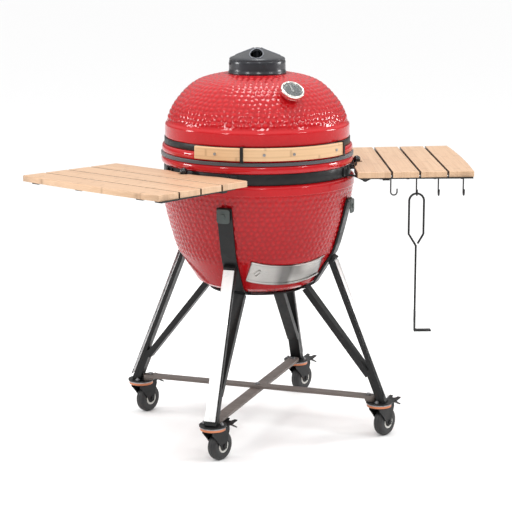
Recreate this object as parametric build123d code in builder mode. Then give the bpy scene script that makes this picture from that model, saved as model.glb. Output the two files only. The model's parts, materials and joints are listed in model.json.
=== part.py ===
"""Ceramic kamado grill on a four-leg cart with folding bamboo shelves.

Millimetres. Origin on the floor under the grill's axis, +Z up, front of the grill towards -Y,
+X to the right of somebody standing in front of it.
"""
from build123d import *
from math import atan2, cos, degrees, hypot, radians, sin, sqrt
import os

# ---- ceramic bowl -----------------------------------------------------------------------------
bowl_bottom_z = 442.0
bowl_floor_z = 470.0
bowl_foot_r = 150.0
cone_low = (176.0, 456.0)
cone_high = (230.0, 541.0)
belly = [(251.0, 603.0), (272.0, 690.0)]
belly_top = (279.0, 738.0)
shoulder_r = 283.0
shoulder_z = 766.0
bowl_groove_r = 268.0
base_band_z = (769.5, 801.5)
base_band_r = 272.0
rim_r = 276.0
rim_z = 825.0
mouth_r = 248.0
rib_r = 2.5                     # edge rounding of glazed rims

# ---- ceramic lid ------------------------------------------------------------------------------
seam_z = 829.0
gasket_gap = 0.3
gasket_r = 280.0
lid_lip_r = 274.0
lid_lip_z = (833.0, 857.5)
lid_groove_r = 266.0
lid_band_z = (858.5, 876.5)
lid_band_r = 270.0
lid_rim_r = 268.0
lid_rim_top_z = 917.0
dome_start = (262.0, 921.0)
dome_points = [(249.0, 957.0), (221.0, 997.0), (180.0, 1033.0), (123.0, 1052.0)]
dome_top = (90.0, 1057.0)
chimney_r = 55.0
dome_inner_start = (246.0, 915.0)
dome_inner = [(234.0, 950.0), (208.0, 983.0), (170.0, 1013.0)]
dome_inner_top = (100.0, 1033.0)

# ---- fire parts -------------------------------------------------------------------------------
grate_ledge_z = 560.0
grate_r = 165.0
firebox_top_z = 650.0
grid_z = 795.0
grid_r = 226.0

# ---- draft vent, a curved sheet lying on the bowl's cone ----------------------------------------
vent_mid = (205.3, 501.5)       # radius and height of the vent's middle
vent_half_height = 37.0
vent_half_deg = 28.0
port_deg = 14.0                 # middle of the air port, to the left of the front
cone_lean = atan2(cone_high[0] - cone_low[0], cone_high[1] - cone_low[1])
vent_seat_r = vent_mid[0] / cos(cone_lean) - 1.4
sheet = 2.0
door_gap = 0.3
door_thick = 1.4

# ---- lid hinge --------------------------------------------------------------------------------
hinge_y = 312.0
hinge_pin_r = 5.0
running = 0.05                  # radial clearance of every running fit
lower_ear_x = 69.0
upper_ear_x = 55.0
ear_thick = 6.0

# ---- cart -------------------------------------------------------------------------------------
caster_xy = 267.0
foot_plate_z = (105.0, 109.0)
foot_plate_r = 39.0
strap_wide = 44.0
strap_gap = 1.5
strap_thick = 6.0
bar_wide = 34.0
bar_thick = 12.0
brace_thick = 18.0
knee = (230.5, 517.0)
foot = (395.0, 109.0)
inner_bar_top = (152.0, 433.0)
cross_bar_wide = 34.0
cross_bar_thick = 8.0
cradle_r = (108.0, 140.0)
cradle_z = (430.0, 434.0)

# ---- casters ----------------------------------------------------------------------------------
wheel_r = 42.0
hub_r = 20.0
wheel_wide = 30.0
axle_r = 4.0
trail = 30.0
trail_deg = 26.0                # direction in which all four forks trail
kingpin_r = 5.0
race_z = (95.0, 101.0)
race_r = 36.0
fork_top_z = 94.7
cheek_gap = 33.0
cheek_thick = 2.5
brake_pivot = (44.0, 92.0)

# ---- side shelves, drawn for the right one; the left one is its mirror image ---------------------
shelf_turn = radians(23.58)
shelf_top_z = 795.5
slat_thick = 17.0
slat_edges = [(275.0, 369.5), (375.5, 449.6), (455.6, 529.7), (535.7, 614.0)]
shelf_cut_r = 290.0
shelf_pivot = (305.0, 764.0)
pivot_pin_r = 4.0
hinge_t = (-110.0, 120.0)
knob_at = (293.0, 20.0)
bar_n = (312.0, 604.0)
frame_bar_thick = 4.0
frame_bar_wide = 25.0
hook_n = (370.0, 443.0, 505.0, 576.0)
hook_wire_r = 2.0
hook_drop = 48.0
hook_bend_r = 9.0

# ---- ash tool ---------------------------------------------------------------------------------
tool_wire_r = 3.0
tool_loop_r = 21.0
tool_loop_length = 150.0
tool_bottom_z = 335.0


def front_edge(n):
    """Where the slats' front ends lie, for a distance n from the grill's axis."""
    return -191.5 + 0.046 * (n - 452.0)


def back_edge(n):
    """Where the slats' back ends lie."""
    return 322.3 + 0.10 * (n - 452.0)


def shelf_plane(height):
    """Level plane whose x runs outward along the shelf and whose y runs to the back."""
    return Plane(origin=(0, 0, height), x_dir=(cos(shelf_turn), -sin(shelf_turn), 0), z_dir=(0, 0, 1))


def shelf_upright(t):
    """Upright plane across the shelf at t: x outward, y up."""
    normal = (-sin(shelf_turn), -cos(shelf_turn), 0)
    origin = (t * sin(shelf_turn), t * cos(shelf_turn), 0)
    return Plane(origin=origin, x_dir=(cos(shelf_turn), -sin(shelf_turn), 0), z_dir=normal)


def radial_plane(angle_deg):
    """Upright plane through the grill's axis: x outward at the angle from +X, y up."""
    a = radians(angle_deg)
    return Plane(origin=(0, 0, 0), x_dir=(cos(a), sin(a), 0), z_dir=(sin(a), -cos(a), 0))


def facing_plane(angle_deg, r, height):
    """Upright plane facing away from the grill's axis: x sideways, y up."""
    a = radians(angle_deg)
    return Plane(origin=(r * cos(a), r * sin(a), height), x_dir=(-sin(a), cos(a), 0),
                 z_dir=(cos(a), sin(a), 0))


def front_deg(degrees_left):
    """Angle from +X of a direction so many degrees to the left of the front."""
    return -90.0 - degrees_left


def strip(points, thick):
    """Outline of a bent flat bar of one thickness along a path of points, mitred at its bends."""
    left = []
    right = []
    for i, (x, y) in enumerate(points):
        before = points[max(i - 1, 0)]
        after = points[min(i + 1, len(points) - 1)]
        into = ((x - before[0]), (y - before[1])) if i > 0 else ((after[0] - x), (after[1] - y))
        out = ((after[0] - x), (after[1] - y)) if i < len(points) - 1 else into
        into_l = hypot(*into)
        out_l = hypot(*out)
        normal = (-into[1] / into_l - out[1] / out_l, into[0] / into_l + out[0] / out_l)
        size = normal[0] ** 2 + normal[1] ** 2
        step = (normal[0] * thick / size, normal[1] * thick / size)
        left.append((x + step[0], y + step[1]))
        right.append((x - step[0], y - step[1]))
    return left + right[::-1]


def ring(inner_r, outer_r, low, high):
    """A plain ring about the grill's axis."""
    with BuildPart() as piece:
        with BuildSketch(Plane.XY.offset(low)):
            Circle(outer_r)
            Circle(inner_r, mode=Mode.SUBTRACT)
        extrude(amount=high - low)
    return piece.part


def arc_face(plane, inner_r, outer_r, middle_deg, half_deg):
    """Sector of a flat ring on a plane, its middle at an angle from the plane's x."""
    start = middle_deg - half_deg
    a0 = radians(start)
    a1 = radians(middle_deg + half_deg)
    with BuildSketch(plane) as sector:
        with BuildLine():
            CenterArc((0, 0), outer_r, start, 2 * half_deg)
            CenterArc((0, 0), inner_r, start, 2 * half_deg)
            Line((inner_r * cos(a0), inner_r * sin(a0)), (outer_r * cos(a0), outer_r * sin(a0)))
            Line((inner_r * cos(a1), inner_r * sin(a1)), (outer_r * cos(a1), outer_r * sin(a1)))
        make_face()
    return sector.sketch


def vent_plane(along):
    """Plane square to the vent's bending axis, so far up the cone from the vent's middle."""
    axis = Vector(0, -sin(cone_lean), cos(cone_lean))
    inward = Vector(0, cos(cone_lean), sin(cone_lean))
    middle = Vector(0, -vent_mid[0], vent_mid[1])
    centre = middle + inward * (vent_mid[0] / cos(cone_lean)) + axis * along
    return Plane(origin=centre, x_dir=(1, 0, 0), z_dir=axis)


def vent_piece(inner_r, outer_r, left_deg, right_deg, low, high):
    """A curved strip of the vent, between two angles to the left of the front."""
    middle = -90.0 - (left_deg + right_deg) / 2
    return extrude(arc_face(vent_plane(low), inner_r, outer_r, middle, (left_deg - right_deg) / 2),
                   amount=high - low)


pieces = []


def keep(part, label):
    """Label a finished piece and put it on the list of files to write."""
    part.label = label
    pieces.append(part)


# ---- bowl -------------------------------------------------------------------------------------
with BuildPart() as base_shell:
    with BuildSketch(Plane.XZ):
        with BuildLine():
            Polyline((0, bowl_bottom_z), (bowl_foot_r, bowl_bottom_z), cone_low, cone_high)
            Spline(cone_high, *belly, belly_top, tangents=[(0.52, 1), (0.05, 1)])
            Polyline(belly_top, (shoulder_r - rib_r, 739), (shoulder_r, 743),
                     (shoulder_r, shoulder_z - rib_r), (shoulder_r - rib_r, shoulder_z),
                     (bowl_groove_r, base_band_z[0]), (bowl_groove_r, base_band_z[1]),
                     (rim_r - rib_r, base_band_z[1]), (rim_r, base_band_z[1] + rib_r),
                     (rim_r, rim_z - rib_r), (rim_r - rib_r, rim_z), (mouth_r, rim_z),
                     (mouth_r, 758))
            Spline((mouth_r, 758), (243, 690), (225, 612), (206.4, 556), tangents=[(0, -1), (-0.6, -1)])
            Polyline((206.4, 556), (151.8, bowl_floor_z), (0, bowl_floor_z), (0, bowl_bottom_z))
        make_face()
    revolve(axis=Axis.Z)
    add(vent_piece(vent_seat_r, vent_seat_r + 20, vent_half_deg + 0.5, -vent_half_deg - 0.5,
                   -vent_half_height - 1, vent_half_height + 1), mode=Mode.SUBTRACT)
    add(vent_piece(vent_seat_r - 50, vent_seat_r + 5, port_deg + 9.5, port_deg - 9.5, -23, 23),
        mode=Mode.SUBTRACT)
keep(base_shell.part, "base_shell")

with BuildPart() as firebox:
    with BuildSketch(Plane.XZ):
        with BuildLine():
            Polyline((112, bowl_floor_z), (138, bowl_floor_z), (193, 558), (211, 612),
                     (216, firebox_top_z), (196, firebox_top_z), (191, 612), (172, grate_ledge_z),
                     (150, grate_ledge_z), (112, 492), close=True)
        make_face()
    revolve(axis=Axis.Z)
    with BuildSketch(Plane.XZ):
        with Locations((0, 498)):
            Rectangle(120, 60)
    extrude(amount=220, mode=Mode.SUBTRACT)
    for angle in range(15, 375, 30):
        with BuildSketch(facing_plane(angle, 170, 600)):
            Circle(8)
        extrude(amount=60, mode=Mode.SUBTRACT)
keep(firebox.part, "firebox")

with BuildPart() as fire_ring:
    with BuildSketch(Plane.XZ):
        Polygon((197, firebox_top_z), (215, firebox_top_z), (232, 758), (232, grid_z), (206, grid_z),
                (206, grid_z - 12), (214, 758), align=None)
    revolve(axis=Axis.Z)
keep(fire_ring.part, "fire_ring")

with BuildPart() as charcoal_grate:
    with BuildSketch(Plane.XY.offset(grate_ledge_z)):
        Circle(grate_r)
        with GridLocations(22, 1, 13, 1):
            SlotOverall(58, 10, rotation=90, mode=Mode.SUBTRACT)
        with Locations((0, 75), (0, -75)):
            with GridLocations(22, 1, 9, 1):
                SlotOverall(58, 10, rotation=90, mode=Mode.SUBTRACT)
    extrude(amount=8)
keep(charcoal_grate.part, "charcoal_grate")

grid_rod_r = 2.5
with BuildPart() as cooking_grid:
    with BuildSketch(Plane.XZ):
        with Locations((grid_r, grid_z + 4)):
            Circle(4)
    revolve(axis=Axis.Z)
    for i in range(-11, 12):
        across = 19.0 * i
        half = sqrt(grid_r ** 2 - across ** 2)
        with BuildSketch(Plane(origin=(-half, across, grid_z + 4), z_dir=(1, 0, 0))):
            Circle(grid_rod_r)
        extrude(amount=2 * half)
    with BuildSketch(Plane(origin=(0, -grid_r, grid_z + 4), z_dir=(0, 1, 0))):
        Circle(grid_rod_r + 0.5)
    extrude(amount=2 * grid_r)
keep(cooking_grid.part, "cooking_grid")

keep(ring(mouth_r + 2, gasket_r, rim_z, seam_z - gasket_gap), "base_gasket")
keep(ring(bowl_groove_r, base_band_r, base_band_z[0] + 0.5, base_band_z[1] - 0.5), "base_band")

# ---- draft vent -------------------------------------------------------------------------------
rail = 4.0
door_half = vent_half_height - rail - 0.5
door_r = vent_seat_r + sheet + door_gap
with BuildPart() as draft_frame:
    add(vent_piece(vent_seat_r, vent_seat_r + sheet, vent_half_deg, -vent_half_deg,
                   -vent_half_height, vent_half_height))
    add(vent_piece(vent_seat_r - 1, vent_seat_r + 5, port_deg + 9.5, port_deg - 9.5, -23, 23),
        mode=Mode.SUBTRACT)
    for side in (-1, 1):
        low, high = sorted((side * vent_half_height, side * (vent_half_height - rail)))
        add(vent_piece(vent_seat_r + 1, door_r + door_thick + door_gap + 1, vent_half_deg,
                       -vent_half_deg, low, high))
        low, high = sorted((side * vent_half_height, side * (door_half - 2.5)))
        add(vent_piece(door_r + door_thick + door_gap, door_r + door_thick + door_gap + 1,
                       vent_half_deg, -vent_half_deg, low, high))
keep(draft_frame.part, "draft_frame")

pull_deg = 22.0
with BuildPart() as draft_door:
    add(vent_piece(door_r, door_r + door_thick, vent_half_deg - 0.5, 0.5, -door_half, door_half))
    swing = radians(-90 - pull_deg)
    vent_middle = vent_plane(0)
    outward = vent_middle.x_dir * cos(swing) + vent_middle.y_dir * sin(swing)
    sideways = vent_middle.y_dir * -cos(swing) + vent_middle.x_dir * sin(swing)
    lean = radians(28)
    ring_plane = Plane(origin=vent_middle.origin + outward * (door_r + door_thick - 0.2),
                       x_dir=sideways * -cos(lean) + vent_middle.z_dir * -sin(lean), z_dir=outward)
    with BuildSketch(ring_plane):
        SlotOverall(26, 13, rotation=90)
        SlotOverall(20, 7, rotation=90, mode=Mode.SUBTRACT)
    extrude(amount=3.2)
keep(draft_door.part, "draft_door")

# ---- lid --------------------------------------------------------------------------------------
therm_point = Vector(0, -211.4, 1009.4)
therm_tilt = radians(54)
therm_out = Vector(0, -cos(therm_tilt), sin(therm_tilt))


def therm_plane(out):
    """Plane facing out of the thermometer, so far from its seat on the dome."""
    return Plane(origin=therm_point + therm_out * out, x_dir=(1, 0, 0), z_dir=therm_out)


with BuildPart() as lid_dome:
    with BuildSketch(Plane.XZ):
        with BuildLine():
            Polyline((mouth_r, lid_lip_z[0]), (lid_lip_r - rib_r, lid_lip_z[0]),
                     (lid_lip_r, lid_lip_z[0] + rib_r), (lid_lip_r, lid_lip_z[1] - rib_r),
                     (lid_lip_r - rib_r, lid_lip_z[1]), (lid_groove_r, lid_lip_z[1]),
                     (lid_groove_r, lid_band_z[1] + 0.5), (lid_rim_r - 1, lid_band_z[1] + 0.5),
                     (lid_rim_r, lid_band_z[1] + rib_r), (lid_rim_r, lid_rim_top_z - rib_r),
                     (lid_rim_r - rib_r, lid_rim_top_z + 1), dome_start)
            Spline(dome_start, *dome_points, dome_top, tangents=[(-0.2, 1), (-1, 0.06)])
            Polyline(dome_top, (chimney_r, dome_top[1]), (chimney_r, 1034), dome_inner_top)
            Spline(dome_inner_top, *dome_inner[::-1], dome_inner_start, tangents=[(1, -0.12), (0.25, -1)])
            Polyline(dome_inner_start, (mouth_r - 0.5, 880), (mouth_r, 850), (mouth_r, lid_lip_z[0]))
        make_face()
    revolve(axis=Axis.Z)
    with BuildSketch(therm_plane(-60)):
        Circle(5)
    extrude(amount=80, mode=Mode.SUBTRACT)
keep(lid_dome.part, "lid_dome")

keep(ring(mouth_r + 2, gasket_r, seam_z, lid_lip_z[0]), "lid_gasket")
keep(ring(lid_groove_r, lid_band_r, lid_band_z[0], lid_band_z[1]), "lid_band")

handle_r = (275.5, 287.0)
handle_z = (840.0, 876.0)
handle_middle_deg = 16.0        # to the left of the front
handle_half_deg = 47.5
strap_deg = (-32.4, 34.5)
screw_deg = (-25.0, 5.0, 22.0, 50.0)
handle_mid_z = (handle_z[0] + handle_z[1]) / 2
with BuildPart() as handle:
    extrude(arc_face(Plane.XY.offset(handle_z[0]), *handle_r, front_deg(handle_middle_deg), handle_half_deg),
            amount=handle_z[1] - handle_z[0])
    fillet(handle.edges().filter_by(GeomType.CIRCLE), 3)
keep(handle.part, "handle")

with BuildPart() as handle_brackets:
    for angle in strap_deg:
        with BuildSketch(radial_plane(front_deg(angle))):
            Polygon(*strip([(lid_band_r + 1.25, 860), (lid_band_r + 1.25, 878.2), (288.6, 878.2),
                            (288.6, 837.8), (277, 837.8)], 2.4), align=None)
        extrude(amount=4.5, both=True)
keep(handle_brackets.part, "handle_brackets")

# ---- top vent ---------------------------------------------------------------------------------
vent_base_z = 1057.2
deck_z = 1086.0
with BuildPart() as vent_collar:
    with BuildSketch(Plane.XZ):
        Polygon((50, 1032), (53.5, 1032), (53.5, vent_base_z), (84, vent_base_z), (84, 1062), (82, 1065),
                (81.5, 1092), (80, 1096), (77, 1096), (77, deck_z), (70, deck_z), (70, deck_z - 4),
                (77, deck_z - 8), (77, 1064), (50, 1064), align=None)
    revolve(axis=Axis.Z)
    for angle in (10, 100, 190, 280):
        with BuildSketch(facing_plane(front_deg(angle), 80, deck_z)):
            Circle(4.5)
        extrude(amount=4.2)
keep(vent_collar.part, "vent_collar")

windows = PolarLocations(40, 4, start_angle=45)
with BuildPart() as vent_damper:
    with BuildSketch(Plane.XY.offset(deck_z + 0.1)):
        Circle(76.5)
        with windows:
            SlotOverall(44, 26, mode=Mode.SUBTRACT)
        Circle(hinge_pin_r + 0.02, mode=Mode.SUBTRACT)
    extrude(amount=3.5)
keep(vent_damper.part, "vent_damper")

with BuildPart() as vent_pivot:
    with BuildSketch(Plane.XY.offset(1076)):
        Circle(hinge_pin_r)
    extrude(amount=1121 - 1076)
    with BuildSketch(Plane.XY.offset(1079)):
        RegularPolygon(9, 6)
    extrude(amount=6.8)
keep(vent_pivot.part, "vent_pivot")

cap_rim_z = 1096.5
cap_top_z = 1131.0
with BuildPart() as vent_cap:
    with BuildSketch(Plane.XZ):
        Polygon((0, cap_top_z), (12, 1128.5), (78, 1102), (80.5, 1099), (80.5, cap_rim_z), (76, cap_rim_z),
                (12, 1121.5), (0, 1121.5), align=None)
    revolve(axis=Axis.Z)
    for angle in (29, 149, 269):
        with BuildSketch(Plane.XY.offset(1090)):
            with PolarLocations(43, 1, start_angle=front_deg(angle)):
                Ellipse(29, 19)
        extrude(amount=50, mode=Mode.SUBTRACT)
    with BuildSketch(Plane.XY.offset(deck_z + 4.2)):
        Circle(76)
        with windows:
            SlotOverall(44, 26, mode=Mode.SUBTRACT)
    extrude(amount=3)
    with BuildSketch(Plane.XY.offset(deck_z + 4.2)):
        Circle(11)
    extrude(amount=34)
    with BuildSketch(Plane.XY.offset(deck_z)):
        Circle(hinge_pin_r + running)
    extrude(amount=1122 - deck_z, mode=Mode.SUBTRACT)
keep(vent_cap.part, "vent_cap")

# ---- thermometer ------------------------------------------------------------------------------
case_back = 3.2
case_face = 28.0
case_r = 34.0
with BuildPart() as thermometer_case:
    with BuildSketch(therm_plane(case_back)):
        Circle(25)
    extrude(amount=7)
    with BuildSketch(therm_plane(case_back + 7)):
        Circle(case_r - 1.5)
    extrude(amount=case_face - 1 - case_back - 7)
    with BuildSketch(therm_plane(case_face - 8)):
        Circle(case_r)
    extrude(amount=8)
    with BuildSketch(therm_plane(case_face - 7)):
        Circle(case_r - 6)
    extrude(amount=8, mode=Mode.SUBTRACT)
    with BuildSketch(therm_plane(-52)):
        Circle(3)
    extrude(amount=case_back + 53)
    with BuildSketch(therm_plane(-30)):
        RegularPolygon(8, 6)
    extrude(amount=4)
keep(thermometer_case.part, "thermometer_case")

with BuildPart() as thermometer_dial:
    with BuildSketch(therm_plane(case_face - 7)):
        Circle(case_r - 6)
    extrude(amount=1)
    with BuildSketch(therm_plane(case_face - 6)):
        Circle(1.5)
    extrude(amount=2.6)
keep(thermometer_dial.part, "thermometer_dial")

with BuildPart() as thermometer_needle:
    with BuildSketch(therm_plane(case_face - 5.2)):
        Polygon((-2, -6), (2, -6), (0.6, 22), (-0.6, 22), align=None)
        Circle(3.5)
        Circle(1.5 + running, mode=Mode.SUBTRACT)
    extrude(amount=0.9)
keep(thermometer_needle.part, "thermometer_needle")

with BuildPart() as thermometer_lens:
    with BuildSketch(therm_plane(case_face - 2.6)):
        Circle(case_r - 6)
    extrude(amount=1.8)
keep(thermometer_lens.part, "thermometer_lens")

# ---- lid hinge --------------------------------------------------------------------------------
def side_plane(x):
    """Upright plane square to X: its x runs to the back, its y up."""
    return Plane(origin=(x, 0, 0), x_dir=(0, 1, 0), z_dir=(1, 0, 0))


def hinge_ear(x, outline):
    """One ear of the lid hinge, with the boss round the pin."""
    with BuildPart() as ear:
        with BuildSketch(side_plane(x - ear_thick / 2)):
            Polygon(*outline, align=None)
            with Locations((hinge_y, seam_z)):
                Circle(11)
                Circle(hinge_pin_r + running, mode=Mode.SUBTRACT)
        extrude(amount=ear_thick)
    return ear.part


def band_pad(angle_deg, band_r, low, high, half_deg, thick=4.0):
    """A curved foot that lies on a steel band."""
    return extrude(arc_face(Plane.XY.offset(low), band_r, band_r + thick, angle_deg, half_deg),
                   amount=high - low)


def band_cut(band_r, low, high):
    """The space inside a band, taken away from what is bolted to it."""
    return ring(1, band_r, low, high)


with BuildPart() as hinge_lower_bracket:
    add(band_pad(90, base_band_r, 773, 798, 19))
    for side in (-1, 1):
        add(hinge_ear(side * lower_ear_x, [(262, 774), (262, 797), (285, 797), (302, 834), (323, 829),
                                           (306, 790), (284, 774)]))
    add(band_cut(base_band_r, 770, 800), mode=Mode.SUBTRACT)
keep(hinge_lower_bracket.part, "hinge_lower_bracket")

with BuildPart() as hinge_upper_bracket:
    add(band_pad(90, lid_band_r, 860, 875, 15.5))
    for side in (-1, 1):
        add(hinge_ear(side * upper_ear_x, [(262, 860), (262, 875), (292, 875), (323, 832), (302, 824),
                                           (287, 860)]))
    add(band_cut(lid_band_r, 858.7, 876.3), mode=Mode.SUBTRACT)
keep(hinge_upper_bracket.part, "hinge_upper_bracket")

with BuildPart() as hinge_pin:
    with BuildSketch(Plane(origin=(-74, hinge_y, seam_z), z_dir=(1, 0, 0))):
        Circle(hinge_pin_r)
    extrude(amount=148)
    for side in (-1, 1):
        with BuildSketch(Plane(origin=(side * 72.2, hinge_y, seam_z), z_dir=(side, 0, 0))):
            Circle(8)
        extrude(amount=4)
keep(hinge_pin.part, "hinge_pin")

with BuildPart() as hinge_springs:
    for side in (-1, 1):
        with BuildSketch(Plane(origin=(side * 8, hinge_y, seam_z), z_dir=(side, 0, 0))):
            Circle(9)
            Circle(6, mode=Mode.SUBTRACT)
        extrude(amount=40)
keep(hinge_springs.part, "hinge_springs")

# ---- cart -------------------------------------------------------------------------------------
def leg_point(line, height):
    """Radius of a line set in by a distance from the outer bar's centre line, at a height."""
    slope = (foot[0] - knee[0]) / (knee[1] - foot[1])
    return knee[0] + slope * (knee[1] - height) - line


brace_low = (leg_point(16, 186), 186)
inner_bar_high = (leg_point(13, 202), 202)
inner_bar_low = (leg_point(13, foot[1]), foot[1])
strap_mid = strap_gap + strap_thick / 2
strap_top_z = 705.0


def beside(point, slope, distance):
    """Point at a distance outside a profile that rises with a slope of r over z."""
    size = hypot(1, slope)
    return (point[0] + distance / size, point[1] - distance * slope / size)


belly_curve = Spline(cone_high, *belly, belly_top, tangents=[(0.52, 1), (0.05, 1)])
strap_path = []
for share in (0.82, 0.66, 0.5, 0.34, 0.18, 0.04):
    here = belly_curve @ share
    way = belly_curve % share
    strap_path.append(beside((here.X, here.Y), way.X / way.Y, strap_mid))
strap_path.insert(0, (strap_path[0][0] + 3, strap_top_z))
strap_path += [(cone_low[0] + 3.4, cone_low[1] - 3.6), (151, cradle_z[1] + strap_thick / 2),
               (cradle_r[0] + 14, cradle_z[1] + strap_thick / 2)]


def build_leg(angle_deg):
    """One welded leg: strap round the bowl, two bars, and the round foot plate."""
    with BuildPart() as leg:
        with BuildSketch(radial_plane(angle_deg)):
            Polygon(*strip(strap_path, strap_thick), align=None)
        extrude(amount=strap_wide / 2, both=True)
        with BuildSketch(radial_plane(angle_deg)):
            Polygon(*strip([(knee[0] + 10, knee[1] + 16), knee, foot], bar_thick), align=None)
            Polygon(*strip([inner_bar_top, brace_low], brace_thick), align=None)
            Polygon(*strip([inner_bar_high, inner_bar_low], bar_thick), align=None)
        extrude(amount=bar_wide / 2, both=True)
        a = radians(angle_deg)
        with BuildSketch(Plane.XY.offset(foot_plate_z[0])):
            with Locations((caster_xy * sqrt(2) * cos(a), caster_xy * sqrt(2) * sin(a))):
                Circle(foot_plate_r)
                with Locations((-32.6 * cos(a), -32.6 * sin(a))):
                    Circle(4, mode=Mode.SUBTRACT)
                for side in (-1, 1):
                    with Locations((-27 * side * sin(a), 27 * side * cos(a))):
                        Circle(3, mode=Mode.SUBTRACT)
        extrude(amount=foot_plate_z[1] - foot_plate_z[0])
        with BuildSketch(Plane.XY.offset(60)):
            Rectangle(900, 900)
        extrude(amount=foot_plate_z[0] - 60, mode=Mode.SUBTRACT)
    return leg.part


leg_names = {-135: "front_left", -45: "front_right", 135: "rear_left", 45: "rear_right"}
for leg_angle, leg_name in leg_names.items():
    keep(build_leg(leg_angle), "leg_" + leg_name)

with BuildPart() as leg_pads:
    for leg_angle in leg_names:
        with BuildSketch(facing_plane(leg_angle, 287.2, 684)):
            RectangleRounded(38, 40, 8)
        extrude(amount=3)
        with BuildSketch(facing_plane(leg_angle, 290.2, 684)):
            RegularPolygon(7, 6)
        extrude(amount=3)
keep(leg_pads.part, "leg_pads")

with BuildPart() as cradle_ring:
    with BuildSketch(Plane.XY.offset(cradle_z[0])):
        Circle(cradle_r[1])
        Circle(cradle_r[0], mode=Mode.SUBTRACT)
    extrude(amount=cradle_z[1] - cradle_z[0])
keep(cradle_ring.part, "cradle_ring")

cross_low = foot_plate_z[1]
cross_mid = cross_low + cross_bar_thick
foot_r = caster_xy * sqrt(2)
with BuildPart() as cross_brace:
    for angle, low in ((45, cross_low), (135, cross_mid)):
        with BuildSketch(Plane.XY.offset(low)):
            SlotOverall(2 * (foot_r - 9), cross_bar_wide, rotation=angle)
            with PolarLocations(foot_r - 32.6, 2, start_angle=angle):
                Circle(4, mode=Mode.SUBTRACT)
            Circle(4, mode=Mode.SUBTRACT)
        extrude(amount=cross_bar_thick)
    with BuildSketch(Plane.XY.offset(cross_low)):
        with PolarLocations(foot_r - 26, 2, start_angle=135):
            Circle(17)
        with PolarLocations(foot_r - 32.6, 2, start_angle=135):
            Circle(4, mode=Mode.SUBTRACT)
    extrude(amount=cross_bar_thick)
keep(cross_brace.part, "cross_brace")

with BuildPart() as cart_bolts:
    for angle, low in ((45, cross_mid), (135, cross_mid + cross_bar_thick)):
        with PolarLocations(foot_r - 32.6, 2, start_angle=angle):
            with Locations((0, 0, foot_plate_z[0] + 0.5)):
                Cylinder(3.9, low - foot_plate_z[0] - 0.5, align=(Align.CENTER, Align.CENTER, Align.MIN))
            with Locations((0, 0, low)):
                Cylinder(7, 5, align=(Align.CENTER, Align.CENTER, Align.MIN))
    with Locations((0, 0, cross_low - 6)):
        Cylinder(7, 6, align=(Align.CENTER, Align.CENTER, Align.MIN))
    with Locations((0, 0, cross_low)):
        Cylinder(3.9, 2 * cross_bar_thick, align=(Align.CENTER, Align.CENTER, Align.MIN))
    with Locations((0, 0, cross_mid + cross_bar_thick)):
        Cylinder(7, 5, align=(Align.CENTER, Align.CENTER, Align.MIN))
keep(cart_bolts.part, "cart_bolts")

# ---- casters ----------------------------------------------------------------------------------
corners = {name: (caster_xy * (1 if "right" in name else -1), caster_xy * (1 if "rear" in name else -1))
           for name in leg_names.values()}

with BuildPart() as caster_plates:
    for name, (x, y) in corners.items():
        a = atan2(y, x)
        with BuildSketch(Plane(origin=(x, y, race_z[1]))):
            Circle(race_r)
            Circle(kingpin_r + running, mode=Mode.SUBTRACT)
        extrude(amount=foot_plate_z[0] - race_z[1])
        for side in (-1, 1):
            stud = (x - 27 * side * sin(a), y + 27 * side * cos(a))
            with BuildSketch(Plane(origin=(*stud, foot_plate_z[0]))):
                Circle(2.9)
            extrude(amount=12)
            with BuildSketch(Plane(origin=(*stud, foot_plate_z[1]))):
                RegularPolygon(6, 6)
            extrude(amount=5)
keep(caster_plates.part, "caster_plates")

with BuildPart() as swivel_races:
    for x, y in corners.values():
        with BuildSketch(Plane(origin=(x, y, race_z[0]))):
            Circle(race_r)
            Circle(12, mode=Mode.SUBTRACT)
        extrude(amount=race_z[1] - race_z[0])
keep(swivel_races.part, "swivel_races")


def caster_plane(corner, sideways):
    """Upright plane along a caster's trail direction, moved sideways along its axle."""
    a = radians(trail_deg)
    origin = (corner[0] + sideways * sin(a), corner[1] - sideways * cos(a), 0)
    return Plane(origin=origin, x_dir=(cos(a), sin(a), 0), z_dir=(sin(a), -cos(a), 0))


def build_fork(corner):
    """Caster fork with its kingpin, axle and brake pin."""
    outer = cheek_gap / 2 + cheek_thick
    with BuildPart() as fork:
        with BuildSketch(Plane(origin=(*corner, fork_top_z - 3.2))):
            Circle(31)
        extrude(amount=3.2)
        with BuildSketch(Plane(origin=(*corner, fork_top_z - 1))):
            Circle(kingpin_r)
        extrude(amount=10.5)
        for side in (-1, 1):
            with BuildSketch(caster_plane(corner, side * (outer - cheek_thick / 2))):
                Polygon((-24, fork_top_z), (35, fork_top_z), (39, 98), (51, 97), (52, 86), (43, 62),
                        (39, 33), (21, 33), (-5, 66), (-24, 86), align=None)
            extrude(amount=cheek_thick / 2, both=True)
        with BuildSketch(caster_plane(corner, -outer)):
            with Locations((trail, wheel_r)):
                Circle(axle_r)
            with Locations(brake_pivot):
                Circle(2.5)
        extrude(amount=2 * outer)
        for side in (-1, 1):
            with BuildSketch(caster_plane(corner, side * (outer + 1.5))):
                with Locations((trail, wheel_r)):
                    RegularPolygon(7, 6)
            extrude(amount=1.5, both=True)
    return fork.part


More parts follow.
